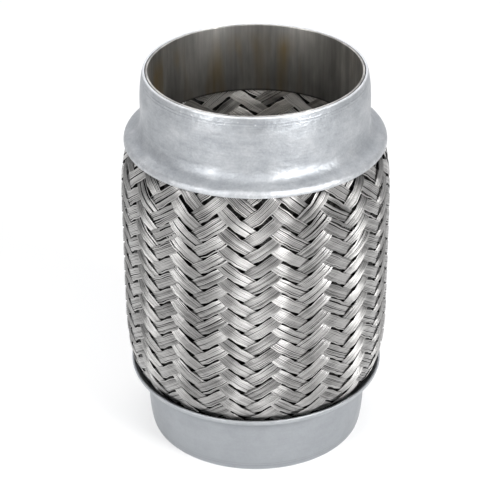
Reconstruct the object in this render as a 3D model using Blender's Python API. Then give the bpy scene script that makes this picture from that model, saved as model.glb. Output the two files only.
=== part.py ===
"""Exhaust flex pipe: a corrugated bellows between two wire braids, held at each end
by a stamped cap and an inner ring.

Units are metres. The pipe stands on its bottom rim, its axis is Z, and the centre of
the bottom rim is the origin. A depth is measured along the axis from an end of the pipe.
"""

from math import ceil, cos, floor, hypot, log, pi, radians, sin, tan

import bmesh
import bpy

# Driving sizes of the whole pipe
PIPE_LENGTH = 0.145
BORE_RADIUS = 0.0379
FIT_GAP = 0.0003

# Inner rings
RING_WALL = 0.00075
RING_SETBACK = 0.00025
RING_EDGE = 0.0002
RIM_SEAM = 0.00025

# End caps
CAP_WALL = 0.0009
CAP_HEIGHT = 0.02675
CAP_EDGE = 0.00045
RIM_CURL_HEIGHT = 0.011
NECK_ROOM = 0.00145
FLARE_REACH = 0.0062
FLARE_ANGLE = radians(62)
FLARE_ROOT_RADIUS = 0.0046
SHOULDER_RADIUS = 0.0018
SKIRT_DROP = 0.0011

# Inner braid
INNER_STRANDS = 24
INNER_RELIEF = 0.0006
INNER_BACKING = 0.0004
INNER_CUFF_WALL = 0.0006
INNER_TUCK = 0.0125

# Bellows
BELLOWS_WALL = 0.00035
BELLOWS_TUCK = 0.0046
CONVOLUTION_DEPTH = 0.0048
CONVOLUTION_PITCH = 0.0108
CREST_SHARE = 0.24
FLANK_SHARE = 0.26

# Outer braid
OUTER_STRANDS = 32
OUTER_RELIEF = 0.0009
OUTER_BACKING = 0.00045
OUTER_TUCK = 0.00325
BULGE = 0.0015
LIP_GAP = 0.0021
GAP_SIZE = 0.22

# Weave shared by the braids
STRAND_ANGLE = radians(54.5)
CREST_INSET = 0.12

# Round resolution
CAP_SIDES = 30
BELLOWS_SIDES = 18

# Heights that follow from the sizes above
MIDDLE = PIPE_LENGTH / 2
RING_LENGTH = CAP_HEIGHT - RING_SETBACK
LIP_HALF = MIDDLE - CAP_HEIGHT
OUTER_HALF = LIP_HALF + OUTER_TUCK

# Radii that follow from the sizes above, from the bore outwards
RING_RADIUS = BORE_RADIUS + RING_WALL
RIM_RADIUS = RING_RADIUS + RIM_SEAM + CAP_WALL
NECK_RADIUS = RING_RADIUS + NECK_ROOM + CAP_WALL
LIP_RADIUS = NECK_RADIUS + FLARE_REACH
CUFF_RADIUS = (RING_RADIUS + FIT_GAP) / cos(pi / (2 * INNER_STRANDS))
INNER_BACK_RADIUS = CUFF_RADIUS + INNER_RELIEF + INNER_BACKING
BELLOWS_RADIUS = (INNER_BACK_RADIUS + FIT_GAP) / cos(pi / BELLOWS_SIDES)
BELLOWS_OUTSIDE = BELLOWS_RADIUS + BELLOWS_WALL
OUTER_FLATNESS = cos(pi / OUTER_STRANDS)
OUTER_RADIUS = BELLOWS_OUTSIDE + CONVOLUTION_DEPTH + BULGE + OUTER_BACKING
OUTER_LIP_RADIUS = LIP_RADIUS - CAP_WALL - LIP_GAP
OUTER_END_RADIUS = (BELLOWS_OUTSIDE + FIT_GAP) / OUTER_FLATNESS + OUTER_BACKING
OUTER_POWER = log((OUTER_RADIUS - OUTER_END_RADIUS) / (OUTER_RADIUS - OUTER_LIP_RADIUS)) / log(
    OUTER_HALF / LIP_HALF
)


def arc(centre, radius, start, end, steps):
    """Points of an arc in the profile plane, angles measured from the radial direction."""
    points = []
    for step in range(steps + 1):
        angle = start + (end - start) * step / steps
        points.append((centre[0] + radius * cos(angle), centre[1] + radius * sin(angle)))
    return points


def offset(points, distance):
    """The polyline moved sideways by a distance, to the left of its own direction."""
    moved = []
    for index, (radius, height) in enumerate(points):
        before = points[max(index - 1, 0)]
        after = points[min(index + 1, len(points) - 1)]
        into = unit(before, (radius, height)) if index else unit((radius, height), after)
        out = unit((radius, height), after) if index < len(points) - 1 else into
        normal = (-(into[1] + out[1]), into[0] + out[0])
        size = hypot(*normal)
        bend = (into[0] * out[0] + into[1] * out[1] + 1) / 2
        reach = distance / (size * bend ** 0.5)
        moved.append((radius + normal[0] * reach, height + normal[1] * reach))
    return moved


def unit(start, end):
    """Unit vector from one profile point to another."""
    length = hypot(end[0] - start[0], end[1] - start[1])
    return (end[0] - start[0]) / length, (end[1] - start[1]) / length


def blend(value, low, high):
    """Smooth step from 0 at low to 1 at high."""
    share = min(max((value - low) / (high - low), 0), 1)
    return share * share * (3 - 2 * share)


def lathe(name, profile, sides):
    """Solid of revolution of a closed profile of (radius, height) points."""
    bm = bmesh.new()
    corners = [bm.verts.new((radius, 0, height)) for radius, height in profile]
    edges = [bm.edges.new((corners[index - 1], corners[index])) for index in range(len(corners))]
    bmesh.ops.spin(
        bm, geom=corners + edges, cent=(0, 0, 0), axis=(0, 0, 1), angle=2 * pi, steps=sides, use_merge=True
    )
    obj = finished(name, bm)
    obj.data.shade_smooth()
    obj.data.set_sharp_from_angle(angle=radians(40))
    return obj


def finished(name, bm):
    """Object made of a bmesh, with its faces turned outwards."""
    bmesh.ops.recalc_face_normals(bm, faces=bm.faces)
    mesh = bpy.data.meshes.new(name)
    bm.to_mesh(mesh)
    bm.free()
    obj = bpy.data.objects.new(name, mesh)
    bpy.context.collection.objects.link(obj)
    return obj


def metal(obj, colour, roughness):
    """Give an object a metal material of its own."""
    material = bpy.data.materials.new(obj.name)
    material.use_nodes = True
    shader = material.node_tree.nodes["Principled BSDF"]
    shader.inputs["Base Color"].default_value = (*colour, 1)
    shader.inputs["Metallic"].default_value = 1
    shader.inputs["Roughness"].default_value = roughness
    obj.data.materials.append(material)


def stand_at_end(obj, top):
    """Place a piece that was modelled hanging down from an end plane."""
    if top:
        obj.location.z = PIPE_LENGTH
    else:
        obj.rotation_euler.x = pi


def cap_outside():
    """Outer line of a cap, from the edge of its rim down to the foot of its skirt."""
    curl_radius = (RIM_CURL_HEIGHT ** 2 + (NECK_RADIUS - RIM_RADIUS) ** 2) / (2 * (NECK_RADIUS - RIM_RADIUS))
    curl_sweep = RIM_CURL_HEIGHT / curl_radius
    skirt_top = SKIRT_DROP - CAP_HEIGHT
    rounded = (FLARE_ROOT_RADIUS + SHOULDER_RADIUS) * (1 - cos(FLARE_ANGLE))
    slant_height = (FLARE_REACH - rounded) / tan(FLARE_ANGLE)
    flare_height = (FLARE_ROOT_RADIUS + SHOULDER_RADIUS) * sin(FLARE_ANGLE) + slant_height
    line = arc((NECK_RADIUS - curl_radius, -RIM_CURL_HEIGHT), curl_radius, curl_sweep, 0, 2)
    root_centre = (NECK_RADIUS + FLARE_ROOT_RADIUS, skirt_top + flare_height)
    line += arc(root_centre, FLARE_ROOT_RADIUS, pi, pi + FLARE_ANGLE, 3)
    line += arc((LIP_RADIUS - SHOULDER_RADIUS, skirt_top), SHOULDER_RADIUS, FLARE_ANGLE, 0, 2)
    line.append((LIP_RADIUS, -CAP_HEIGHT))
    return line


def make_cap(name, top):
    """Stamped collar: curled rim, barrel neck, flare, shoulder and skirt of even sheet."""
    outside = cap_outside()
    inside = offset(outside, -CAP_WALL)
    rim_inside = RING_RADIUS + RIM_SEAM
    inside[0] = (rim_inside, 0)
    inside[-1] = (LIP_RADIUS - CAP_WALL, -CAP_HEIGHT)
    rim_edge = [(outside[0][0] - CAP_EDGE, 0), (outside[0][0], -CAP_EDGE)]
    cap = lathe(name, rim_edge + outside[1:] + inside[::-1], CAP_SIDES)
    stand_at_end(cap, top)
    metal(cap, (0.63, 0.65, 0.67), 0.38)


def make_ring(name, top):
    """Plain rolled ring that lines the mouth inside a cap."""
    profile = [
        (BORE_RADIUS + RING_EDGE, 0),
        (RING_RADIUS, 0),
        (RING_RADIUS, -RING_LENGTH),
        (BORE_RADIUS, -RING_LENGTH),
        (BORE_RADIUS, -RING_EDGE),
    ]
    ring = lathe(name, profile, CAP_SIDES)
    stand_at_end(ring, top)
    metal(ring, (0.42, 0.41, 0.38), 0.35)


def outer_front(height):
    """Radius of the outer braid under its floats: level in the middle, turned in at the ends."""
    turn_in = OUTER_RADIUS - OUTER_LIP_RADIUS
    return OUTER_RADIUS - turn_in * (abs(height - MIDDLE) / LIP_HALF) ** OUTER_POWER


def outer_back(height):
    """Radius of the back of the outer braid."""
    return outer_front(height) - OUTER_BACKING


def crest_reach():
    """Half the height over which the bellows' crests stay clear of the outer braid."""
    needed = (BELLOWS_OUTSIDE + CONVOLUTION_DEPTH + FIT_GAP) / OUTER_FLATNESS + OUTER_BACKING
    share = (OUTER_RADIUS - needed) / (OUTER_RADIUS - OUTER_LIP_RADIUS)
    return LIP_HALF * share ** (1 / OUTER_POWER)


def make_bellows():
    """Thin tube with as many U-shaped convolutions as fit between two plain cuffs."""
    half = LIP_HALF + BELLOWS_TUCK
    crest = BELLOWS_RADIUS + CONVOLUTION_DEPTH
    shoulder = CONVOLUTION_PITCH * CREST_SHARE / 2
    foot = shoulder + CONVOLUTION_PITCH * FLANK_SHARE / 2
    count = 1 + floor(2 * (crest_reach() - shoulder) / CONVOLUTION_PITCH)
    inside = [(BELLOWS_RADIUS, MIDDLE - half)]
    for index in range(count):
        centre = MIDDLE + (index - (count - 1) / 2) * CONVOLUTION_PITCH
        inside += [
            (BELLOWS_RADIUS, centre - foot),
            (crest, centre - shoulder),
            (crest, centre + shoulder),
            (BELLOWS_RADIUS, centre + foot),
        ]
    inside.append((BELLOWS_RADIUS, MIDDLE + half))
    outside = offset(inside, -BELLOWS_WALL)
    bellows = lathe("bellows", inside + outside[::-1], BELLOWS_SIDES)
    metal(bellows, (0.5, 0.48, 0.45), 0.3)


class BraidWall:
    """Tube wall whose front is a two over, two under weave with chevron columns.

    The weave is a lattice of half strands: column a runs round the pipe, level b runs up
    it, and the corners of the floats are where a + b is odd. A float is the stretch of a
    strand that lies on top, two crossings long, and it arches between its ends.
    """

    def __init__(
        self, strands, front, back, back_columns, back_depths, relief, weave_half, end_half, end_step, gaps
    ):
        self.columns = 2 * strands
        self.stride = self.columns // back_columns
        self.front = front
        self.back = back
        self.relief = relief
        self.weave_half = weave_half
        self.end_half = end_half
        self.end_step = end_step
        widest = front(MIDDLE) * pi / strands
        self.levels = 2 * ceil(weave_half / (widest / tan(STRAND_ANGLE)))
        self.step = 2 * weave_half / self.levels
        self.back_depths = back_depths
        self.gaps = {(a % self.columns, b) for a, b in gaps(self.columns, self.levels)}
        self.bm = bmesh.new()
        self.verts = {}

    def height(self, level):
        """Height of a level. Levels past the weave's ends are closer together."""
        beyond = max(level - self.levels, 0) - max(-level, 0)
        return MIDDLE - self.weave_half + (level - beyond) * self.step + beyond * self.end_step

    def vertex(self, side, column, height, lift=0.0):
        """Vertex on the front or the back of the wall, made once for each place."""
        key = (side, round(column % self.columns, 3), round(height, 7))
        if key not in self.verts:
            radius = (self.front if side == "front" else self.back)(height) + lift
            angle = 2 * pi * column / self.columns
            self.verts[key] = self.bm.verts.new((radius * cos(angle), radius * sin(angle), height))
        return self.verts[key]

    def is_gap(self, corner):
        return (corner[0] % self.columns, corner[1]) in self.gaps

    def rim(self, side, corner, direction):
        """Vertex on a gap's rim, on the line from its corner in a diagonal direction."""
        column = corner[0] + GAP_SIZE * direction[0]
        return self.vertex(side, column, self.height(corner[1] + GAP_SIZE * direction[1]))

    def corner(self, corner, before, after):
        """Front vertices of a float's outline at one corner: one, or two at a gap."""
        if not self.is_gap(corner):
            return [self.vertex("front", corner[0], self.height(corner[1]))]
        ways = [(other[0] - corner[0], other[1] - corner[1]) for other in (before, after)]
        return [self.rim("front", corner, way) for way in ways]

    def add_float(self, outline):
        """Arched float over a six-cornered outline, whose corners 1 and 4 are mid-side."""
        crests = []
        for near, far in ((1, 4), (4, 1)):
            column = outline[near][0] + CREST_INSET * (outline[far][0] - outline[near][0])
            level = outline[near][1] + CREST_INSET * (outline[far][1] - outline[near][1])
            crests.append(self.vertex("front", column, self.height(level), self.relief))
        corners = [self.corner(outline[i], outline[i - 1], outline[(i + 1) % 6]) for i in range(6)]
        for start, crest, other in ((0, crests[0], crests[1]), (3, crests[1], crests[0])):
            side = [corners[start][-1]] + corners[start + 1] + [corners[start + 2][0]]
            for first, second in zip(side, side[1:]):
                self.bm.faces.new((first, second, crest))
            self.bm.faces.new(corners[start + 2] + corners[(start + 3) % 6] + [other, crest])

    def add_floats(self):
        """Both floats of each chevron period, at every second level."""
        for a in range(0, self.columns, 4):
            for b in range(0, self.levels + 1, 2):
                rising = [(0, -1), (1, 0), (2, 1), (1, 2), (0, 1), (-1, 0)]
                falling = [(4, -1), (3, 0), (2, 1), (1, 0), (2, -1), (3, -2)]
                for outline in (rising, falling):
                    self.add_float([(a + x, b + y) for x, y in outline])

    def add_cuffs(self):
        """Plain bands from the weave's zigzag edges to the ends, and the end faces."""
        for side in (-1, 1):
            end = MIDDLE + side * self.end_half
            for a in range(0, self.columns, self.stride):
                outer = [self.vertex("front", a + step, end) for step in range(self.stride + 1)]
                edge = [self.edge_vertex(side, a + step) for step in range(self.stride + 1)]
                for step in range(self.stride):
                    self.bm.faces.new((edge[step], edge[step + 1], outer[step + 1], outer[step]))
                back = [self.vertex("back", a + self.stride, end), self.vertex("back", a, end)]
                self.bm.faces.new(outer + back)

    def edge_vertex(self, side, column):
        """Vertex of the weave's zigzag edge in a column, at the top or the bottom."""
        tip = (1, 2, 1, 0)[column % 4]
        level = self.levels + tip if side > 0 else tip - 2
        return self.vertex("front", column, self.height(level))

    def add_back(self):
        """Plain back of the wall, with rows where it turns in and at the rows of gaps."""
        low, high = MIDDLE - self.end_half, MIDDLE + self.end_half
        inner = [(level, self.height(level)) for level in sorted({level for _, level in self.gaps})]
        below, above = [(None, low)], [(None, high)]
        for depth in self.back_depths:
            below.append((None, low + depth))
            above.insert(0, (None, high - depth))
        rows = below + inner + above
        for a in range(0, self.columns, self.stride):
            for low, high in zip(rows, rows[1:]):
                face = []
                for column, row, arrive, leave in (
                    (a, low, (0, 1), (1, 0)),
                    (a + self.stride, low, (-1, 0), (0, 1)),
                    (a + self.stride, high, (0, -1), (-1, 0)),
                    (a, high, (1, 0), (0, -1)),
                ):
                    for vertex in self.back_corner(column, row, arrive, leave):
                        if vertex not in face:
                            face.append(vertex)
                self.bm.faces.new(face)

    def back_corner(self, column, row, arrive, leave):
        """Back vertices of a face at one corner: one, or the rim of the gap there."""
        level, height = row
        corner = (column % self.columns, level)
        if corner not in self.gaps:
            return [self.vertex("back", column, height)]
        ways = self.gap_ways(corner)
        found = []
        for x, y in (arrive, leave):
            turned = (x - y, x + y)
            found.append(turned if turned in ways else (x + y, y - x))
        return [self.rim("back", (column, level), way) for way in found]

    def gap_ways(self, corner):
        """The three lattice directions in which float edges leave a corner, in order."""
        missing = (1, -1) if corner[0] % 4 < 2 else (1, 1)
        return [way for way in ((1, 1), (-1, 1), (-1, -1), (1, -1)) if way != missing]

    def add_gap_walls(self):
        """Sides of each gap, through the wall."""
        for corner in sorted(self.gaps):
            ways = self.gap_ways(corner)
            for first, second in zip(ways, ways[1:] + ways[:1]):
                self.bm.faces.new(
                    (
                        self.rim("front", corner, first),
                        self.rim("front", corner, second),
                        self.rim("back", corner, second),
                        self.rim("back", corner, first),
                    )
                )

    def build(self, name):
        """The whole wall as one object."""
        self.add_floats()
        self.add_cuffs()
        self.add_back()
        self.add_gap_walls()
        bmesh.ops.triangulate(self.bm, faces=self.bm.faces[:], quad_method="SHORT_EDGE")
        return finished(name, self.bm)


def staggered_gaps(columns, levels):
    """Gaps where three floats meet, every sixth level, in turn on two sets of columns."""
    gaps = []
    for turn, level in enumerate(range(5, levels - 1, 6)):
        start = 0 if turn % 2 == 0 else 2
        gaps += [(a, level) for a in range(start, columns, 4)]
    return gaps


def no_gaps(columns, levels):
    return []


def make_outer_braid():
    """Bulging sleeve over the bellows, tucked under both skirts."""
    weave_half = LIP_HALF + FIT_GAP
    wall = BraidWall(
        strands=OUTER_STRANDS,
        front=outer_front,
        back=outer_back,
        back_columns=OUTER_STRANDS,
        back_depths=[OUTER_TUCK, 2 * OUTER_TUCK],
        relief=OUTER_RELIEF,
        weave_half=weave_half,
        end_half=OUTER_HALF,
        end_step=(OUTER_HALF - weave_half) / 3,
        gaps=staggered_gaps,
    )
    metal(wall.build("outer_braid"), (0.62, 0.6, 0.57), 0.3)


def make_inner_braid():
    """Sleeve inside the bellows, its ends slipped over the inner rings."""
    ring_half = MIDDLE - RING_LENGTH
    end_half = ring_half + INNER_TUCK
    end_step = INNER_TUCK / 4

    def open_share(height):
        return blend(end_half - abs(height - MIDDLE), 0, INNER_TUCK)

    def front(height):
        return CUFF_RADIUS + INNER_RELIEF * open_share(height)

    def back(height):
        cuff = CUFF_RADIUS + INNER_CUFF_WALL
        return cuff + (INNER_BACK_RADIUS - cuff) * open_share(height)

    wall = BraidWall(
        strands=INNER_STRANDS,
        front=front,
        back=back,
        back_columns=2 * INNER_STRANDS,
        back_depths=[INNER_TUCK],
        relief=-INNER_RELIEF,
        weave_half=ring_half,
        end_half=end_half,
        end_step=end_step,
        gaps=no_gaps,
    )
    metal(wall.build("inner_braid"), (0.45, 0.43, 0.4), 0.35)


def main():
    for obj in list(bpy.data.objects):
        bpy.data.objects.remove(obj, do_unlink=True)
    make_cap("top_cap", True)
    make_cap("bottom_cap", False)
    make_ring("top_inner_ring", True)
    make_ring("bottom_inner_ring", False)
    make_inner_braid()
    make_bellows()
    make_outer_braid()


main()
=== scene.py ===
"""Looks of the exhaust flex pipe: fine lathed sheet parts, and both braids wire by wire."""

import math

import bpy
import numpy as np
from mathutils import Matrix, Vector


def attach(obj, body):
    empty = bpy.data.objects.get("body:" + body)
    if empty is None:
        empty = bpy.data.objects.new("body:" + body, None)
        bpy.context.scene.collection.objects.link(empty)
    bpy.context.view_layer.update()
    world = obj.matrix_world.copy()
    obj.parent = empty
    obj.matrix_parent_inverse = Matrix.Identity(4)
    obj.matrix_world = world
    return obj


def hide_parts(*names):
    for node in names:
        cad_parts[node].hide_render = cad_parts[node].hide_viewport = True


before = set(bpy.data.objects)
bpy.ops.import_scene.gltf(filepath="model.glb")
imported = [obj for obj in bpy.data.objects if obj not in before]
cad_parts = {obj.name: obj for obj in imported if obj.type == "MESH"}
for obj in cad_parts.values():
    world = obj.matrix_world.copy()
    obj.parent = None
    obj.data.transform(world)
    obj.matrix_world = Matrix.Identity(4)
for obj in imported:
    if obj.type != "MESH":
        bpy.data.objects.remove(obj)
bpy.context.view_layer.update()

# Sizes of the pipe, in metres, as in the frame
PIPE_LENGTH = 0.145
MIDDLE = PIPE_LENGTH / 2
BORE_RADIUS = 0.0379
RING_RADIUS = 0.03865
RING_LENGTH = 0.0265
RING_EDGE = 0.00015
RIM_SEAM = 0.00025
RIM_BEVEL = 0.0001
CAP_WALL = 0.0009
CAP_HEIGHT = 0.02675
CAP_EDGE = 0.0004
LIP_EDGE = 0.0003
RIM_RADIUS = RING_RADIUS + RIM_SEAM + CAP_WALL
RIM_CURL_HEIGHT = 0.011
NECK_RADIUS = 0.0410
LIP_RADIUS = 0.0472
FLARE_ANGLE = math.radians(62)
FLARE_ROOT_RADIUS = 0.0056
SHOULDER_RADIUS = 0.0024
SKIRT_DROP = 0.0004
LATHE_SIDES = 216

# Where the braids run, in metres
OUTER_FRONT = 0.04803
OUTER_LIP = 0.0442
OUTER_POWER = 6.26
OUTER_HALF = MIDDLE - CAP_HEIGHT
OUTER_RAISE = 0.0002
OUTER_TUCK = 0.0003
INNER_MIDDLE = 0.0395

# Strands and wires: widths are in half strands and lengths in levels, unless a name says metres
WIRES_PER_STRAND = 9
WIRE_FILL = 0.98
WIRE_SECTION = ((1, 0), (0.72, 0.86), (-0.72, 0.86), (-1, 0), (0, -1))
# Painted shade in the crevices between wires: the side and bottom corners of each section are darker
CREVICE_SHADE = 0.35
WIRE_CORNER_SHADES = (CREVICE_SHADE, 1, 1, CREVICE_SHADE, CREVICE_SHADE)
WIRE_STRETCH = 0.94
# Colour that the painted shade on the wires goes down to
WIRE_SHADE = (0.01, 0.0095, 0.009)
STRAND_PINCH = 0.085
TOP_SQUEEZE = 0.4
FLAT_SHARE = 0.45
FLATTENING = 2.4
STRAND_EDGE_METRES = 0.00002
STRAND_LIFT_METRES = 0.00003
WIRE_LIFT_METRES = 0.00002
SAMPLES_IN_TWO_LEVELS = (0, 0.5, 1.15, 1.5, 1.85)
SAMPLED_PAST_ENDS = 6
HELD_BACK = 0.02
SPLITS_PER_STRAND = 1.3
SPLIT_OPENING = 0.17
LOOSE_SPLITS = 5.0
LOOSE_FROM = 0.76
LOOSE_OPENING = 1.8
SLITS_PER_STRAND = 14
MEAN_TONE = 0.85

# Marks, a painted highlight and painted shade on the sheet parts, as depths in metres from the nearer end of
# the pipe
RIM_LINES = ((0.0021, 0.00028), (0.0031, 0.00018))
RIM_HIGHLIGHT_WIDTH = 0.0006
SCUFF_DEPTH = 0.0022
SCUFF_WIDTH = 0.0016
LIP_RUBBED = (0.0232, 0.0252)
FLARE_DULL = (0.012, 0.02)
RING_STAINED = (0.002, 0.009)
# Painted shade deeper in the ring's bore, and a painted shadow line at the ring's far end
RING_SHADED = (0.009, 0.022)
RING_END_SHADOW_WIDTH = 0.0012

# Height in metres below which the cap sheet's clouds are at their calmest
CALM_HEIGHT = 0.03

# Camera of the photograph
CAMERA_ELEVATION = math.radians(30.1)
CAMERA_ROLL = math.radians(0.282)
CAMERA_DISTANCE = 0.7253
CAMERA_AIM = Vector((-0.002122, 0.0, 0.071132))
CAMERA_LENS = 141.04
CAMERA_SENSOR = 36

# Floor, surroundings and lights
FLOOR_HALF = 3.0
FLOOR_GREY = 0.5
FLOOR_GLOW = 0.43
WORLD_GREYS = ((0.45, 0.11), (0.64, 0.82))
WORLD_BLUE = 1.02
LIGHTS_AIM = Vector((0, 0, 0.07))

# Name, place, width, height and brightness of each light
LIGHTS = (
    ("left_box", (-0.61, -0.61, 0.57), 0.36, 0.46, 9.0),
    ("right_box", (0.61, -0.61, 0.57), 0.36, 0.46, 16.5),
    ("low_left", (-0.62, -0.75, 0.2), 0.45, 0.26, 3.2),
    ("low_right", (0.55, -0.8, 0.2), 0.5, 0.26, 3.2),
    ("top_box", (0.0, -0.33, 1.0), 0.9, 0.8, 1.3),
    ("front_box", (0.0, -0.82, 0.6), 0.4, 0.26, 1.2),
    ("back_box", (0.0, 0.5, 0.95), 1.0, 0.4, 2.6),
)


# Camera, floor and light


def look_along(obj, place, forward, roll=0.0):
    """Place an object so that its -Z axis looks along a direction, turned by a roll."""
    forward = forward.normalized()
    right = forward.cross(Vector((0, 0, 1))).normalized()
    up = right.cross(forward)
    turned_right = math.cos(roll) * right - math.sin(roll) * up
    turned_up = math.sin(roll) * right + math.cos(roll) * up
    turn = Matrix((turned_right, turned_up, -forward)).transposed()
    obj.matrix_world = Matrix.Translation(place) @ turn.to_4x4()


def add_camera():
    data = bpy.data.cameras.new("camera")
    data.lens = CAMERA_LENS
    data.sensor_width = CAMERA_SENSOR
    data.clip_start = 0.05
    data.clip_end = 20
    camera = bpy.data.objects.new("camera", data)
    bpy.context.scene.collection.objects.link(camera)
    forward = Vector((0, math.cos(CAMERA_ELEVATION), -math.sin(CAMERA_ELEVATION)))
    look_along(camera, CAMERA_AIM - CAMERA_DISTANCE * forward, forward, CAMERA_ROLL)
    bpy.context.scene.camera = camera


def add_light(name, place, width, height, brightness):
    """Rectangular soft light, whose energy follows from its brightness and its size."""
    data = bpy.data.lights.new(name, "AREA")
    data.shape = "RECTANGLE"
    data.size = width
    data.size_y = height
    data.energy = brightness * math.pi * width * height
    light = bpy.data.objects.new(name, data)
    bpy.context.scene.collection.objects.link(light)
    place = Vector(place)
    look_along(light, place, LIGHTS_AIM - place)


def add_world():
    """Surroundings that are dark towards the front and light towards the back."""
    world = bpy.data.worlds.new("studio")
    bpy.context.scene.world = world
    world.use_nodes = True
    tree = world.node_tree
    place = tree.nodes.new("ShaderNodeTexCoord")
    split = tree.nodes.new("ShaderNodeSeparateXYZ")
    tree.links.new(place.outputs["Generated"], split.inputs["Vector"])
    ramp = tree.nodes.new("ShaderNodeValToRGB")
    ramp.color_ramp.interpolation = "EASE"
    for stop, (position, grey) in zip(ramp.color_ramp.elements, WORLD_GREYS):
        stop.position = position
        stop.color = (grey, grey, WORLD_BLUE * grey, 1)
    spread = tree.nodes.new("ShaderNodeMapRange")
    spread.inputs["From Min"].default_value = -1
    tree.links.new(split.outputs["Y"], spread.inputs["Value"])
    tree.links.new(spread.outputs["Result"], ramp.inputs["Fac"])
    tree.links.new(ramp.outputs["Color"], tree.nodes["Background"].inputs["Color"])


def add_floor():
    """Grey floor, with a glow that only camera, glossy and transmission rays get."""
    mesh = bpy.data.meshes.new("floor")
    corners = [(x * FLOOR_HALF, y * FLOOR_HALF, 0) for x, y in ((-1, -1), (1, -1), (1, 1), (-1, 1))]
    mesh.from_pydata(corners, [], [(0, 1, 2, 3)])
    floor = bpy.data.objects.new("floor", mesh)
    bpy.context.scene.collection.objects.link(floor)
    paint = Paint("floor", (FLOOR_GREY, FLOOR_GREY, FLOOR_GREY), 0.0, 0.8)
    rays = paint.tree.nodes.new("ShaderNodeLightPath").outputs
    seen = paint.math("MAXIMUM", rays["Is Camera Ray"], rays["Is Glossy Ray"])
    seen = paint.math("MAXIMUM", seen, rays["Is Transmission Ray"])
    paint.shader.inputs["Emission Color"].default_value = (1, 1, 1, 1)
    paint.link(paint.times(seen, FLOOR_GLOW), "Emission Strength")
    floor.data.materials.append(paint.material)


# Materials


class Paint:
    """A Principled material with helpers for its procedural textures."""

    def __init__(self, name, colour, metallic, roughness):
        self.material = bpy.data.materials.new(name)
        self.material.use_nodes = True
        self.tree = self.material.node_tree
        self.shader = self.tree.nodes["Principled BSDF"]
        self.shader.inputs["Base Color"].default_value = (*colour, 1)
        self.shader.inputs["Metallic"].default_value = metallic
        self.shader.inputs["Roughness"].default_value = roughness
        self.place = self.tree.nodes.new("ShaderNodeTexCoord").outputs["Object"]

    def noise(self, scale, detail, rough, stretch=(1, 1, 1)):
        """Value of a noise over the object's metres, squeezed along each axis by a stretch."""
        mapping = self.tree.nodes.new("ShaderNodeMapping")
        mapping.inputs["Scale"].default_value = stretch
        self.tree.links.new(self.place, mapping.inputs["Vector"])
        noise = self.tree.nodes.new("ShaderNodeTexNoise")
        noise.inputs["Scale"].default_value = scale
        noise.inputs["Detail"].default_value = detail
        noise.inputs["Roughness"].default_value = rough
        self.tree.links.new(mapping.outputs["Vector"], noise.inputs["Vector"])
        return noise.outputs["Fac"]

    def height(self):
        split = self.tree.nodes.new("ShaderNodeSeparateXYZ")
        self.tree.links.new(self.place, split.inputs["Vector"])
        return split.outputs["Z"]

    def depth(self):
        """Depth of a point in metres, from the end of the pipe that is nearer."""
        from_middle = self.math("ABSOLUTE", self.math("SUBTRACT", self.height(), MIDDLE), 0.0)
        return self.math("SUBTRACT", MIDDLE, from_middle)

    def depth_line(self, depth, width):
        """Thin soft line round the pipe, at a depth from either end."""
        away = self.math("ABSOLUTE", self.math("SUBTRACT", self.depth(), depth), 0.0)
        return self.ranged(away, 0, width, 1, 0)

    def attribute(self, name, output):
        node = self.tree.nodes.new("ShaderNodeAttribute")
        node.attribute_name = name
        return node.outputs[output]

    def ranged(self, value, low, high, to_low, to_high):
        """A value's range from low to high, mapped to another one and held there past its ends."""
        node = self.tree.nodes.new("ShaderNodeMapRange")
        names = ("From Min", "From Max", "To Min", "To Max")
        for name, number in zip(names, (low, high, to_low, to_high)):
            node.inputs[name].default_value = number
        self.tree.links.new(value, node.inputs["Value"])
        return node.outputs["Result"]

    def math(self, operation, first, second):
        """Result of a Math node, whose inputs are numbers or sockets."""
        node = self.tree.nodes.new("ShaderNodeMath")
        node.operation = operation
        for value, socket in ((first, node.inputs[0]), (second, node.inputs[1])):
            if isinstance(value, (int, float)):
                socket.default_value = value
            else:
                self.tree.links.new(value, socket)
        return node.outputs["Value"]

    def add(self, first, *others):
        for other in others:
            first = self.math("ADD", first, other)
        return first

    def times(self, first, second):
        return self.math("MULTIPLY", first, second)

    def ramp(self, value, stops):
        """Colour ramp through (position, colour) stops."""
        node = self.tree.nodes.new("ShaderNodeValToRGB")
        elements = node.color_ramp.elements
        for position, colour in stops[1:-1]:
            elements.new(position).color = (*colour, 1)
        for index, (position, colour) in ((0, stops[0]), (len(stops) - 1, stops[-1])):
            elements[index].position = position
            elements[index].color = (*colour, 1)
        self.tree.links.new(value, node.inputs["Fac"])
        return node.outputs["Color"]

    def drawn_towards(self, colour, other, share):
        """A colour drawn towards a fixed one by a share."""
        node = self.tree.nodes.new("ShaderNodeMixRGB")
        node.inputs["Color2"].default_value = (*other, 1)
        self.tree.links.new(share, node.inputs["Fac"])
        self.tree.links.new(colour, node.inputs["Color1"])
        return node.outputs["Color"]

    def bump(self, value, height, strength):
        """Bump of a height in metres, added on top of any bump before it."""
        node = self.tree.nodes.new("ShaderNodeBump")
        node.inputs["Strength"].default_value = strength
        node.inputs["Distance"].default_value = height
        self.tree.links.new(value, node.inputs["Height"])
        target = self.shader.inputs["Normal"]
        if target.is_linked:
            self.tree.links.new(target.links[0].from_socket, node.inputs["Normal"])
        self.tree.links.new(node.outputs["Normal"], target)

    def link(self, value, socket):
        self.tree.links.new(value, self.shader.inputs[socket])


def rim_scuffs(paint, marks):
    """Small bright specks in patches below the rim, on the top cap only."""
    specks = paint.ranged(paint.noise(800, 2, 0.6), 0.58, 0.68, 0, 1)
    under_rim = paint.depth_line(SCUFF_DEPTH, SCUFF_WIDTH)
    scuffs = paint.times(specks, paint.times(under_rim, paint.ranged(marks, 0.48, 0.6, 0, 1)))
    return paint.times(scuffs, paint.ranged(paint.height(), MIDDLE, PIPE_LENGTH, 0, 1))


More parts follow.
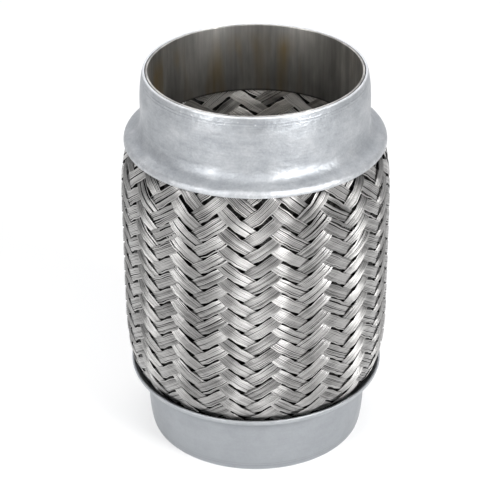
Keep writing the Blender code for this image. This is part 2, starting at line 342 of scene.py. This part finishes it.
def cap_paint():
    """Satin galvanised sheet: clouds, grain and brushing, lines and scuffs by the rim, a painted highlight
    along the rim's edge, a rubbed lip.

    The bottom cap has calmer clouds than the top one and a slightly darker tone.
    """
    paint = Paint("cap_steel", (0.37, 0.385, 0.405), 1.0, 0.42)
    brush = paint.noise(80, 4, 0.6, (1, 1, 18))
    clouds = paint.noise(75, 5, 0.62, (1, 1, 1.5))
    grain = paint.noise(1300, 2, 0.6)
    grey = paint.add(paint.times(brush, 0.22), paint.times(clouds, 0.48), paint.times(grain, 0.3))
    marks = paint.noise(240, 3, 0.6, (1, 1, 5))
    blotches = paint.noise(190, 4, 0.65, (1, 1, 1.3))
    lines = paint.add(*(paint.depth_line(depth, width) for depth, width in RIM_LINES))
    lines = paint.times(lines, paint.ranged(marks, 0.42, 0.62, 0.3, 1))
    scuffs = rim_scuffs(paint, marks)
    rub_patches = paint.ranged(paint.noise(520, 3, 0.65), 0.35, 0.62, 0.5, 1)
    rubbed = paint.times(paint.ranged(paint.depth(), *LIP_RUBBED, 0, 1), rub_patches)
    calm = paint.ranged(paint.height(), CALM_HEIGHT, MIDDLE, 0.35, 1)
    tone = paint.add(grey, paint.ranged(blotches, 0.3, 0.7, -0.09, 0.09))
    tone = paint.times(paint.math("SUBTRACT", tone, 0.5), calm)
    tone = paint.add(
        tone,
        paint.ranged(paint.height(), CALM_HEIGHT, MIDDLE, 0.44, 0.5),
        paint.times(lines, -0.45),
        # Painted highlight: a lighter line along the rim's edge, at both ends of the pipe
        paint.times(paint.depth_line(0.0, RIM_HIGHLIGHT_WIDTH), 0.6),
        paint.times(scuffs, 0.5),
        paint.times(rubbed, 0.2),
    )
    steels = [
        (0.32, (0.322, 0.338, 0.358)),
        (0.5, (0.396, 0.413, 0.434)),
        (0.68, (0.491, 0.505, 0.522)),
        (0.9, (0.695, 0.71, 0.73)),
    ]
    paint.link(paint.ramp(tone, steels), "Base Color")
    dull = paint.ranged(paint.depth(), *FLARE_DULL, 0, 0.08)
    paint.link(paint.add(paint.ranged(clouds, 0.3, 0.7, 0.5, 0.4), dull), "Roughness")
    paint.bump(grain, 0.00003, 0.35)
    paint.bump(paint.times(clouds, calm), 0.0009, 0.6)
    paint.bump(paint.times(blotches, calm), 0.0006, 0.6)
    paint.bump(lines, 0.00012, 0.6)
    return paint.material


def ring_paint():
    """Rolled strip, darker than the caps, with streaks along the pipe and golden stains, painted shade
    deeper in the bore and a painted shadow line at its far end by the inner braid.
    """
    paint = Paint("ring_steel", (0.42, 0.41, 0.38), 1.0, 0.36)
    streaks = paint.noise(240, 4, 0.65, (1, 1, 0.05))
    stains = paint.noise(60, 4, 0.6, (1, 1, 0.3))
    grey = paint.add(paint.times(streaks, 0.4), paint.times(stains, 0.6))
    steels = [(0.38, (0.22, 0.215, 0.204)), (0.5, (0.385, 0.378, 0.363)), (0.62, (0.67, 0.656, 0.625))]
    gold = paint.ranged(paint.noise(38, 3, 0.6, (1.6, 1.6, 0.25)), 0.5, 0.62, 0, 0.85)
    stained = paint.times(gold, paint.ranged(paint.depth(), *RING_STAINED, 0, 1))
    colour = paint.drawn_towards(paint.ramp(grey, steels), (0.4, 0.31, 0.17), stained)
    # Painted shadow: a dark line at the ring's far end by the inner braid, and painted shade that grows
    # deeper into the bore
    end_shadow = paint.depth_line(RING_LENGTH, RING_END_SHADOW_WIDTH)
    ring_shade = paint.math("MAXIMUM", end_shadow, paint.ranged(paint.depth(), *RING_SHADED, 0, 0.3))
    paint.link(paint.drawn_towards(colour, (0.015, 0.014, 0.012), ring_shade), "Base Color")
    paint.link(paint.ranged(grey, 0.35, 0.65, 0.46, 0.32), "Roughness")
    return paint.material


def bellows_shade_paint():
    """Formed thin sheet, dull and painted nearly black, as painted shade behind the braid."""
    paint = Paint("bellows_steel", (0.08, 0.077, 0.07), 1.0, 0.5)
    grey = paint.noise(120, 3, 0.6, (1, 1, 9))
    # Painted shade: a nearly black base colour for the sheet that lies in shade behind the braid
    paint.link(paint.ramp(grey, [(0.3, (0.02, 0.0195, 0.018)), (0.7, (0.06, 0.058, 0.054))]), "Base Color")
    paint.link(paint.ranged(grey, 0.3, 0.7, 0.5, 0.34), "Roughness")
    return paint.material


def wire_paint(name, light, roughness):
    """Drawn wire, whose tone changes from bundle to bundle and along each wire, with painted shade where it
    goes under and in the crevices between wires.
    """
    paint = Paint(name, light, 1.0, roughness)
    drawn = paint.noise(420, 3, 0.6)
    # The tone attribute holds the wires' own tone and their painted shade
    tone = paint.add(paint.attribute("tone", "Fac"), paint.ranged(drawn, 0.3, 0.7, -0.05, 0.05))
    paint.link(paint.ramp(tone, [(0.0, WIRE_SHADE), (1.0, light)]), "Base Color")
    paint.link(paint.ranged(drawn, 0.3, 0.7, roughness + 0.03, roughness - 0.03), "Roughness")
    paint.shader.inputs["Anisotropic"].default_value = WIRE_STRETCH
    paint.link(paint.attribute("across", "Vector"), "Tangent")
    return paint.material


# Meshes


def mesh_object(name, points, faces, material):
    """Smooth object made of arrays: points (n, 3), and faces grouped by their number of sides."""
    mesh = bpy.data.meshes.new(name)
    mesh.vertices.add(len(points))
    mesh.vertices.foreach_set("co", points.astype(np.float32).ravel())
    corners = np.concatenate([group.ravel() for group in faces])
    totals = np.concatenate([np.full(len(group), group.shape[1]) for group in faces])
    starts = np.concatenate([[0], np.cumsum(totals)[:-1]])
    mesh.loops.add(len(corners))
    mesh.loops.foreach_set("vertex_index", corners.astype(np.int32))
    mesh.polygons.add(len(totals))
    mesh.polygons.foreach_set("loop_start", starts.astype(np.int32))
    mesh.update(calc_edges=True)
    mesh.shade_smooth()
    mesh.materials.append(material)
    obj = bpy.data.objects.new(name, mesh)
    bpy.context.scene.collection.objects.link(obj)
    return obj


def ride_for(obj, node):
    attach(obj, "root")
    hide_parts(node)


def arc(centre, radius, start, end, steps):
    angles = start + (end - start) * np.linspace(0, 1, steps + 1)
    return [(centre[0] + radius * math.cos(a), centre[1] + radius * math.sin(a)) for a in angles]


def offset_line(line, distance):
    """The polyline moved to the left of its own direction."""
    points = np.array(line)
    along = np.gradient(points, axis=0)
    along /= np.linalg.norm(along, axis=1, keepdims=True)
    return points + distance * np.stack([-along[:, 1], along[:, 0]], axis=1)


def lathe(name, profile, top, material):
    """Surface of revolution of a closed profile, whose points are (radius, height over the pipe's end)."""
    profile = np.array(profile)
    angles = 2 * np.pi * np.arange(LATHE_SIDES) / LATHE_SIDES
    radius = profile[:, 0, None]
    heights = PIPE_LENGTH + profile[:, 1] if top else -profile[:, 1]
    heights = np.repeat(heights[:, None], LATHE_SIDES, axis=1)
    points = np.stack([radius * np.cos(angles), radius * np.sin(angles), heights], axis=-1).reshape(-1, 3)
    row = np.arange(len(profile))[:, None] * LATHE_SIDES
    next_row = np.roll(row, -1, axis=0)
    column = np.arange(LATHE_SIDES)[None, :]
    next_column = np.roll(column, -1, axis=1)
    corners = [row + column, next_row + column, next_row + next_column, row + next_column]
    quads = np.stack(corners, axis=-1).reshape(-1, 4)
    if not top:
        quads = quads[:, ::-1]
    return mesh_object(name, points, [quads], material)


def cap_outside():
    """Outer line of a cap, from the edge of its rim down to the foot of its skirt."""
    curl_in = NECK_RADIUS - RIM_RADIUS
    curl_radius = (RIM_CURL_HEIGHT**2 + curl_in**2) / (2 * curl_in)
    skirt_top = SKIRT_DROP - CAP_HEIGHT
    both = FLARE_ROOT_RADIUS + SHOULDER_RADIUS
    slant = (LIP_RADIUS - NECK_RADIUS - both * (1 - math.cos(FLARE_ANGLE))) / math.tan(FLARE_ANGLE)
    flare_height = both * math.sin(FLARE_ANGLE) + slant
    curl_centre = (NECK_RADIUS - curl_radius, -RIM_CURL_HEIGHT)
    line = arc(curl_centre, curl_radius, RIM_CURL_HEIGHT / curl_radius, 0, 8)
    root = (NECK_RADIUS + FLARE_ROOT_RADIUS, skirt_top + flare_height)
    line += arc(root, FLARE_ROOT_RADIUS, math.pi, math.pi + FLARE_ANGLE, 12)
    line += arc((LIP_RADIUS - SHOULDER_RADIUS, skirt_top), SHOULDER_RADIUS, FLARE_ANGLE, 0, 10)
    line.append((LIP_RADIUS, LIP_EDGE - CAP_HEIGHT))
    return line


def make_cap(name, top, material):
    """Cap sheet: the outer line, the same line a wall further in, and rounded edges at both ends."""
    outside = cap_outside()
    inside = [tuple(point) for point in offset_line(outside, -CAP_WALL)]
    rim_inside = RING_RADIUS + RIM_SEAM
    rim = arc((RIM_RADIUS - CAP_EDGE, -CAP_EDGE), CAP_EDGE, math.pi / 2, 0, 6)
    foot_height = LIP_EDGE - CAP_HEIGHT
    foot = arc((LIP_RADIUS - LIP_EDGE, foot_height), LIP_EDGE, 0, -math.pi / 2, 5)
    foot += arc((LIP_RADIUS - CAP_WALL + LIP_EDGE, foot_height), LIP_EDGE, -math.pi / 2, -math.pi, 5)
    bevel = [(rim_inside, -RIM_BEVEL), (rim_inside + RIM_BEVEL, 0)]
    profile = rim + outside[1:-1] + foot + inside[1:-1][::-1] + bevel
    ride_for(lathe(name + "_sheet", profile, top, material), name)


def make_ring(name, top, material):
    """Ring strip, with all four edges rounded."""
    outer, inner = RING_RADIUS - RING_EDGE, BORE_RADIUS + RING_EDGE
    high, low = -RING_EDGE, RING_EDGE - RING_LENGTH
    profile = arc((outer, high), RING_EDGE, math.pi / 2, 0, 4)
    profile += arc((outer, low), RING_EDGE, 0, -math.pi / 2, 4)
    profile += arc((inner, low), RING_EDGE, -math.pi / 2, -math.pi, 4)
    profile += arc((inner, high), RING_EDGE, math.pi, math.pi / 2, 4)
    ride_for(lathe(name + "_strip", profile, top, material), name)


# Braids


class Braid:
    """Two over, two under braid on a lattice of half strands.

    Column a runs round the pipe and level b runs up it. A rising strand keeps a - b
    even and a falling one a + b even, and they cross where a and b are whole numbers.
    The points of a strand go on for reach levels past both ends, and its wires end
    overrun levels past them. Facing is 1 for a braid seen from outside, and -1 for
    one seen from the bore.
    """

    def __init__(
        self,
        strands,
        levels,
        half_height,
        reach,
        overrun,
        radius,
        facing,
        swing,
        fill,
        thick,
        loosened,
        uneven,
        seed,
    ):
        self.strands = strands
        self.levels = levels
        self.half_height = half_height
        self.reach = reach
        self.overrun = overrun
        self.radius = radius
        self.facing = facing
        self.swing = swing
        self.pitch = 2 * fill / WIRES_PER_STRAND
        self.thick = thick
        self.loosened = loosened
        self.uneven = uneven
        self.rng = np.random.default_rng(seed)

    def place(self, level):
        """Height of a level. In a loosened weave the levels spread out near the top."""
        share = level / self.levels
        spread = share + self.loosened * share**4 * (share - 1)
        return MIDDLE - self.half_height + 2 * self.half_height * spread

    def sample_levels(self):
        """Levels at which a strand has its points: closer together where a rising one changes side."""
        pairs = np.arange(-SAMPLED_PAST_ENDS, self.levels + SAMPLED_PAST_ENDS, 2)
        wanted = (pairs[:, None] + np.array(SAMPLES_IN_TWO_LEVELS)).ravel()
        inside = wanted[(wanted > -self.reach) & (wanted < self.levels + self.reach)]
        return np.concatenate([[-self.reach], inside, [self.levels + self.reach]])

    def stop_at_ends(self, samples, shift):
        """Levels of each wire, pressed together past its overrun so that all wires end about level."""
        low = shift - self.overrun
        high = self.levels + self.overrun + shift
        held = np.where(samples > high, high + HELD_BACK * (samples - high), samples)
        return np.where(samples < low, low + HELD_BACK * (samples - low), held)

    def wave(self, shape, levels, length, size):
        """Smooth random line along each strand or wire."""
        total = 0
        for share, factor in ((0.65, 1.0), (0.35, 0.43)):
            phase = self.rng.uniform(0, 2 * np.pi, shape + (1,))
            stretch = self.rng.uniform(0.75, 1.25, shape + (1,))
            total = total + share * np.sin(2 * np.pi * levels * stretch / (length * factor) + phase)
        return size * total

    def parted(self, wire, opening, bell):
        """Shifts of a strand's wires to both sides of a gap, which starts before a wire."""
        side = np.where(np.arange(WIRES_PER_STRAND) >= wire, 0.5, -0.5)[:, None]
        return opening * side * bell

    def splits(self, levels):
        """Sideways shifts where a bundle has opened up, with more of them near a loosened top."""
        shift = np.zeros((self.strands, WIRES_PER_STRAND, len(levels)))
        for strand in range(self.strands):
            anywhere = self.rng.poisson(SPLITS_PER_STRAND)
            for place in range(anywhere + self.rng.poisson(self.loosened * LOOSE_SPLITS)):
                near_top = place >= anywhere
                at = self.rng.uniform(LOOSE_FROM * self.levels if near_top else 0, self.levels)
                half = self.rng.uniform(1.2, 3.2)
                wire = self.rng.integers(1, WIRES_PER_STRAND)
                opening = self.rng.uniform(0.35, 1.0) * SPLIT_OPENING * (LOOSE_OPENING if near_top else 1)
                shift[strand] += self.parted(wire, opening, np.exp(-(((levels - at) / half) ** 2)))
        return shift

    def slits(self, levels):
        """Sideways shifts that leave fine dark lines between wires, of all lengths."""
        shift = np.zeros((self.strands, WIRES_PER_STRAND, len(levels)))
        for strand in range(self.strands):
            for _ in range(SLITS_PER_STRAND):
                at = self.rng.uniform(0, self.levels)
                half = self.rng.uniform(1.0, 4.0)
                wire = self.rng.integers(1, WIRES_PER_STRAND)
                opening = self.rng.uniform(0.02, 0.075)
                bell = np.clip(1.5 * np.exp(-(((levels - at) / half) ** 2)), 0, 1)
                shift[strand] += self.parted(wire, opening, bell)
        return shift

    def across(self, wire, levels):
        """Sideways place of each wire in its strand, in half strands."""
        each_strand, each_wire = (self.strands, 1), (self.strands, WIRES_PER_STRAND)
        near_top = np.clip(levels / self.levels, 0, 1) ** 6
        squeeze = 1 + STRAND_PINCH * np.cos(2 * np.pi * levels)
        squeeze = squeeze * (1 - TOP_SQUEEZE * self.loosened * near_top)
        across = wire * self.pitch * squeeze * (1 + self.wave(each_strand, levels, length=9, size=0.02))
        across = across + self.wave(each_strand, levels, length=11, size=0.03)
        across = across + self.wave(each_wire, levels, length=6, size=0.016)
        across = across + self.splits(levels)
        return across + self.slits(levels)

    def lift(self, wire, levels, weave):
        """How far out each wire lies from the braid's middle surface, in metres."""
        edge = (np.abs(wire) / np.abs(wire).max()) ** 3
        each_strand, each_wire = (self.strands, 1), (self.strands, WIRES_PER_STRAND)
        lift = self.facing * self.swing * weave
        lift = lift + self.wave(each_strand, levels, length=8, size=STRAND_LIFT_METRES)
        lift = lift + self.wave(each_wire, levels, length=5, size=WIRE_LIFT_METRES)
        return lift - STRAND_EDGE_METRES * self.facing * edge

    def tone(self, levels, weave):
        """Brightness of each wire from 0 to 1: its own tone, with painted shade where it goes under."""
        strand_tone = self.rng.normal(0, 0.08 * self.uneven, (self.strands, 1, 1))
        wire_tone = self.rng.normal(0, 0.14, (self.strands, WIRES_PER_STRAND, 1))
        tone = MEAN_TONE + strand_tone + wire_tone
        tone = tone + self.wave((self.strands, 1), levels, length=5, size=0.13 * self.uneven)
        # Painted shade: the wires go nearly black where they dip under the crossing strands
        return np.clip(tone * np.clip((weave + 0.5) / 0.4, 0.04, 1), 0, 1)

    def half_width(self):
        """Half the width of one wire, in metres."""
        step_round = math.pi * self.radius(MIDDLE) / self.strands
        step_up = 2 * self.half_height / self.levels
        return WIRE_FILL * self.pitch / 2 * step_round * step_up / math.hypot(step_round, step_up)

    def build(self, name, rising, material):
        """The strands that run one way, as two objects with half of them each."""
        samples = self.sample_levels()
        strand = np.arange(self.strands)[:, None, None]
        wire = np.arange(WIRES_PER_STRAND)[None, :, None] - (WIRES_PER_STRAND - 1) / 2
        side = 1 if rising else -1
        across = self.across(wire, samples)
        levels = self.stop_at_ends(samples, side * across / 2)
        centre = levels + 2 * strand if rising else 2 * strand - levels
        swell = np.sin(np.pi * (centre + 0.5) / 2)
        flat = np.tanh(FLATTENING * swell) / math.tanh(FLATTENING)
        weave = side * (FLAT_SHARE * flat + (1 - FLAT_SHARE) * swell)
        lift = self.lift(wire, samples, weave)
        height = self.place(levels - side * across / 2)
        radius = self.radius(height) + lift
        angle = np.pi * (centre + across / 2) / self.strands
        points = np.stack([radius * np.cos(angle), radius * np.sin(angle), height], axis=-1)
        out = self.facing * np.stack([np.cos(angle), np.sin(angle), np.zeros_like(angle)], axis=-1)
        tone = np.broadcast_to(self.tone(samples, weave), points.shape[:3])
        middle = self.strands // 2
        halves = []
        for word, part in (("a", slice(0, middle)), ("b", slice(middle, None))):
            halves.append(self.tubes(name + "_" + word, points[part], out[part], tone[part], material))
        return halves

    def tubes(self, name, points, out, tone, material):
        """Closed wires round centre-lines, with a flat-topped five-sided section.

        The order of the corners makes all faces point inward.
        """
        along = np.gradient(points, axis=2)
        along /= np.linalg.norm(along, axis=-1, keepdims=True)
        side = np.cross(along, out)
        side /= np.linalg.norm(side, axis=-1, keepdims=True)
        up = np.cross(side, along)
        section = np.array(WIRE_SECTION)
        flat = section[:, 0] * self.half_width()
        rise = section[:, 1] * self.thick
        around = points[..., None, :] + flat[:, None] * side[..., None, :] + rise[:, None] * up[..., None, :]
        strands, wires, samples, corners = around.shape[:4]
        start = np.arange(strands * wires)[:, None, None] * samples * corners
        row = start + np.arange(samples - 1)[None, :, None] * corners
        corner = np.arange(corners)[None, None, :]
        following = (corner + 1) % corners
        quads = [row + corner, row + following, row + corners + following, row + corners + corner]
        quads = np.stack(quads, axis=-1).reshape(-1, 4)
        first = start[:, 0] + np.arange(corners)[None, ::-1]
        last = start[:, 0] + (samples - 1) * corners + np.arange(corners)[None, :]
        obj = mesh_object(name, around.reshape(-1, 3), [quads, first, last], material)
        # Painted shade in the crevices between wires, through the darker corners of each section
        values = tone[..., None] * np.array(WIRE_CORNER_SHADES)
        shade = obj.data.attributes.new("tone", "FLOAT", "POINT")
        shade.data.foreach_set("value", values.astype(np.float32).ravel())
        across = np.repeat(side[..., None, :], corners, axis=3)
        grain = obj.data.attributes.new("across", "FLOAT_VECTOR", "POINT")
        grain.data.foreach_set("vector", across.astype(np.float32).ravel())
        return obj


def outer_middle(height):
    """Radius of the outer braid's middle surface."""
    turned_in = (OUTER_FRONT - OUTER_LIP) * (np.abs(height - MIDDLE) / OUTER_HALF) ** OUTER_POWER
    return OUTER_FRONT + OUTER_RAISE - turned_in


def inner_middle(height):
    """Radius of the inner braid's middle surface, the same at every height."""
    return INNER_MIDDLE


def outer_braid():
    return Braid(
        strands=32,
        levels=28,
        half_height=OUTER_HALF + OUTER_TUCK,
        reach=0.7,
        overrun=0.25,
        radius=outer_middle,
        facing=1,
        swing=0.00056,
        fill=0.785,
        thick=0.00011,
        loosened=0.28,
        uneven=1.0,
        seed=3,
    )


def inner_braid():
    """Braid that faces the bore. Its overrun is past its reach, so none of its samples is held back."""
    return Braid(
        strands=24,
        levels=26,
        half_height=MIDDLE - RING_LENGTH,
        reach=1.9,
        overrun=2.5,
        radius=inner_middle,
        facing=-1,
        swing=0.0003,
        fill=0.79,
        thick=0.00012,
        loosened=0,
        uneven=2.2,
        seed=5,
    )


def make_braid(braid, node, light, roughness):
    slot = node + "_wire"
    paint = wire_paint(slot, light, roughness)
    for word, rising in (("rising", True), ("falling", False)):
        for half in braid.build(node + "_" + word, rising, paint):
            ride_for(half, node)


def main():
    bpy.context.scene.view_settings.view_transform = "Standard"
    add_camera()
    add_world()
    add_floor()
    for light in LIGHTS:
        add_light(*light)
    sheet = cap_paint()
    strip = ring_paint()
    for end, top in (("top", True), ("bottom", False)):
        make_cap(end + "_cap", top, sheet)
        make_ring(end + "_inner_ring", top, strip)
    make_braid(outer_braid(), "outer_braid", (0.5, 0.494, 0.485), 0.33)
    make_braid(inner_braid(), "inner_braid", (0.71, 0.692, 0.665), 0.37)
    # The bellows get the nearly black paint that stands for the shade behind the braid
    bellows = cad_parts["bellows"].data.materials
    bellows.clear()
    bellows.append(bellows_shade_paint())


main()
